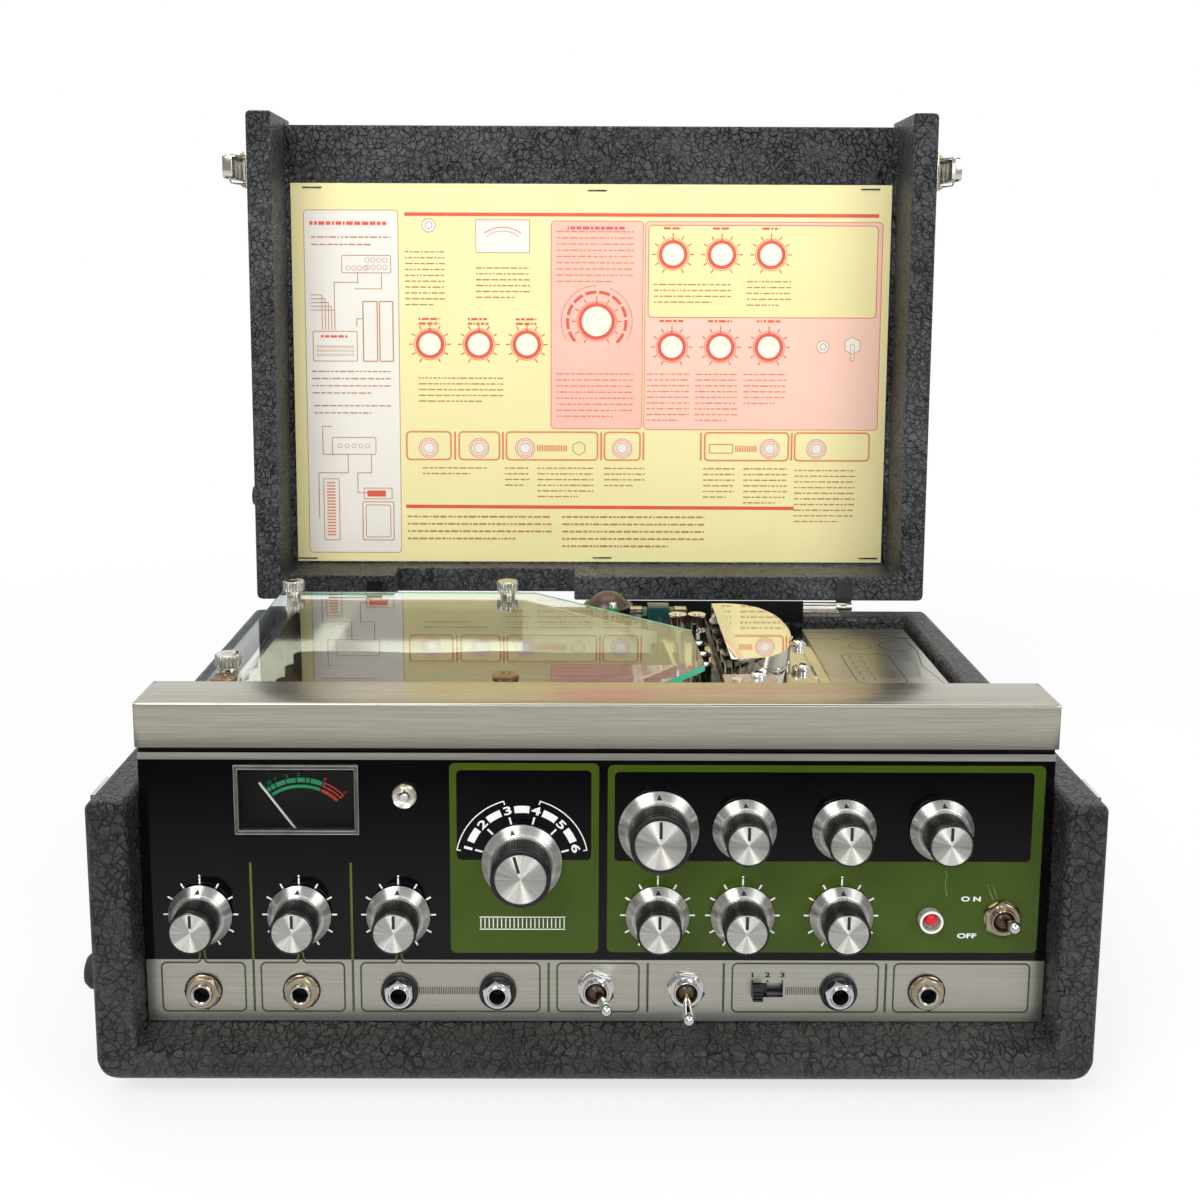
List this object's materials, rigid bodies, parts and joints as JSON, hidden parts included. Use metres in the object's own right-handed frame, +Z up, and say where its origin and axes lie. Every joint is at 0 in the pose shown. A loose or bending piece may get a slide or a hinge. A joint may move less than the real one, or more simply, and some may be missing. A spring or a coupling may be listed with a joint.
{
  "type": "tape echo unit",
  "caption": "Portable tape echo unit: covered case with open lid, control panel with knobs, meter and jacks, and a tape transport under a glass cover.",
  "frame": {"origin": "middle of the space that the unit takes up with its lid open, on the surface that it stands on", "axes": "+X to the right of the panel, +Y to the back, +Z up"},
  "size_m": [0.4445, 0.3689, 0.4335],
  "materials": {
    "vinyl_cover": "pebbled vinyl covering",
    "rubber": "matt",
    "strap": "padded strap",
    "nickel": "polished nickel",
    "black_plastic": "moulded",
    "steel": "plated sheet",
    "panel_print": "gloss print",
    "aluminium": "brushed",
    "clear": "clear",
    "needle": "white",
    "lamp": "polished",
    "lamp_red": "clear red",
    "jack": "nickel",
    "pot": "plated",
    "knob": "spun cap and skirt, black grip",
    "deck": "polished",
    "tank": "dark",
    "glass": "greenish edge",
    "tape": "brown oxide",
    "head": "polished",
    "motor": "satin",
    "brass": "turned",
    "fittings": "mixed",
    "board": "solder mask",
    "core": "varnished",
    "tray": "plated",
    "card": "printed card"
  },
  "bodies": {
    "case": {"tub_shell": "vinyl_cover", "rubber_feet": "rubber", "strap_handle": "strap", "handle_caps": "nickel", "latch_catches": "nickel", "hinge_leaves": "nickel", "cord_gland": "black_plastic", "chassis": "steel", "front_panel": "panel_print", "top_bar": "aluminium", "meter_case": "black_plastic", "meter_window": "clear", "peak_lamp": "lamp", "pilot_lamp": "lamp_red", "jack_sockets": "jack", "toggle_switches": "nickel", "slide_switch": "steel", "control_pots": "pot", "deck_plate": "deck", "tape_tank": "tank", "glass_cover": "glass", "thumb_nuts": "nickel", "tape_loop": "tape", "head_block": "steel", "tape_heads": "head", "head_cover": "deck", "tape_guides": "nickel", "drive_motor": "motor", "drive_belt": "rubber", "deck_fittings": "fittings", "diagram_plate": "aluminium", "circuit_board": "board", "power_transformer": "core", "reverb_tank": "tray"},
    "lid": {"lid_shell": "vinyl_cover", "instruction_card": "card", "lid_feet": "rubber", "lid_hinges": "nickel"},
    "latch_left_lever": {"latch_left": "nickel"},
    "latch_right_lever": {"latch_right": "nickel"},
    "mic_1_control": {"knob_mic_1": "knob"},
    "mic_2_control": {"knob_mic_2": "knob"},
    "instrument_control": {"knob_instrument": "knob"},
    "mode_control": {"knob_mode": "knob"},
    "rate_control": {"knob_rate": "knob"},
    "intensity_control": {"knob_intensity": "knob"},
    "bass_control": {"knob_bass": "knob"},
    "treble_control": {"knob_treble": "knob"},
    "reverb_control": {"knob_reverb": "knob"},
    "echo_control": {"knob_echo": "knob"},
    "balance_control": {"knob_balance": "knob"},
    "power_lever": {"lever_power": "nickel"},
    "input_lever": {"lever_input": "nickel"},
    "output_lever": {"lever_output": "nickel"},
    "level_slider": {"slide_button": "black_plastic"},
    "meter_pointer": {"meter_needle": "needle"},
    "capstan_and_flywheel": {"capstan": "head"},
    "motor_rotor": {"motor_pulley": "brass"},
    "pinch_lever": {"pinch_arm": "steel"},
    "pinch_wheel": {"pinch_roller": "rubber"}
  },
  "joints": [
    {"name": "lid_hinge", "type": "hinge", "parent": "case", "child": "lid", "pos_m": [0, 0.1201, 0.132], "axis": [1, 0, 0], "range_deg": [0, 91.4]},
    {"name": "latch_left_pivot", "type": "hinge", "parent": "lid", "child": "latch_left_lever", "pos_m": [-0.2124, 0.14464, 0.39908], "axis": [0, -0.0244, -0.9997], "range_deg": [-13, 70]},
    {"name": "latch_right_pivot", "type": "hinge", "parent": "lid", "child": "latch_right_lever", "pos_m": [0.2124, 0.14464, 0.39908], "axis": [0, 0.0244, 0.9997], "range_deg": [-13, 70]},
    {"name": "mic_1_turn", "type": "hinge", "parent": "case", "child": "mic_1_control", "pos_m": [-0.16601, -0.1663, 0.07597], "axis": [0, -1, 0], "range_deg": [-150, 150]},
    {"name": "mic_2_turn", "type": "hinge", "parent": "case", "child": "mic_2_control", "pos_m": [-0.12451, -0.1663, 0.07597], "axis": [0, -1, 0], "range_deg": [-150, 150]},
    {"name": "instrument_turn", "type": "hinge", "parent": "case", "child": "instrument_control", "pos_m": [-0.08301, -0.1663, 0.07597], "axis": [0, -1, 0], "range_deg": [-150, 150]},
    {"name": "mode_turn", "type": "hinge", "parent": "case", "child": "mode_control", "pos_m": [-0.03113, -0.1663, 0.0996], "axis": [0, -1, 0], "range_deg": [-75, 75]},
    {"name": "rate_turn", "type": "hinge", "parent": "case", "child": "rate_control", "pos_m": [0.02573, -0.1663, 0.11434], "axis": [0, -1, 0], "range_deg": [-150, 150]},
    {"name": "intensity_turn", "type": "hinge", "parent": "case", "child": "intensity_control", "pos_m": [0.06142, -0.1663, 0.11434], "axis": [0, -1, 0], "range_deg": [-150, 150]},
    {"name": "bass_turn", "type": "hinge", "parent": "case", "child": "bass_control", "pos_m": [0.10293, -0.1663, 0.11434], "axis": [0, -1, 0], "range_deg": [-150, 150]},
    {"name": "treble_turn", "type": "hinge", "parent": "case", "child": "treble_control", "pos_m": [0.1436, -0.1663, 0.11434], "axis": [0, -1, 0], "range_deg": [-150, 150]},
    {"name": "reverb_turn", "type": "hinge", "parent": "case", "child": "reverb_control", "pos_m": [0.02573, -0.1663, 0.07597], "axis": [0, -1, 0], "range_deg": [-150, 150]},
    {"name": "echo_turn", "type": "hinge", "parent": "case", "child": "echo_control", "pos_m": [0.06142, -0.1663, 0.07597], "axis": [0, -1, 0], "range_deg": [-150, 150]},
    {"name": "balance_turn", "type": "hinge", "parent": "case", "child": "balance_control", "pos_m": [0.10293, -0.1663, 0.07597], "axis": [0, -1, 0], "range_deg": [-150, 150]},
    {"name": "power_toggle", "type": "hinge", "parent": "case", "child": "power_lever", "pos_m": [0.17058, -0.1665, 0.07517], "axis": [1, 0, 0], "range_deg": [0, 30]},
    {"name": "input_toggle", "type": "hinge", "parent": "case", "child": "input_lever", "pos_m": [0, -0.1665, 0.04274], "axis": [0, 0, -1], "range_deg": [0, 30]},
    {"name": "output_toggle", "type": "hinge", "parent": "case", "child": "output_lever", "pos_m": [0.03818, -0.1665, 0.04274], "axis": [-1, 0, 0], "range_deg": [0, 30]},
    {"name": "level_slide", "type": "slide", "parent": "case", "child": "level_slider", "axis": [1, 0, 0], "range_m": [0, 0.0088]},
    {"name": "needle_swing", "type": "hinge", "parent": "case", "child": "meter_pointer", "pos_m": [-0.12451, -0.1585, 0.1076], "axis": [0, 1, 0], "range_deg": [0, 72], "stiffness_Nm_per_rad": 0.00002},
    {"name": "capstan_spin", "type": "hinge", "parent": "case", "child": "capstan_and_flywheel", "pos_m": [0.06615, -0.0935, 0.1416], "axis": [0, 0, 1], "continuous": true},
    {"name": "motor_spin", "type": "hinge", "parent": "case", "child": "motor_rotor", "pos_m": [0.15, -0.0215, 0.103], "axis": [0, 0, 1], "continuous": true},
    {"name": "pinch_swing", "type": "hinge", "parent": "case", "child": "pinch_lever", "pos_m": [0.046, -0.123, 0.133], "axis": [0, 0, 1], "range_deg": [-2.6, 0]},
    {"name": "pinch_roller_spin", "type": "hinge", "parent": "pinch_lever", "child": "pinch_wheel", "pos_m": [0.0535, -0.0935, 0.1416], "axis": [0, 0, 1], "continuous": true}
  ],
  "couplings": [
    {"joint": "motor_spin", "follows": "capstan_spin", "ratio": 6.75}
  ]
}
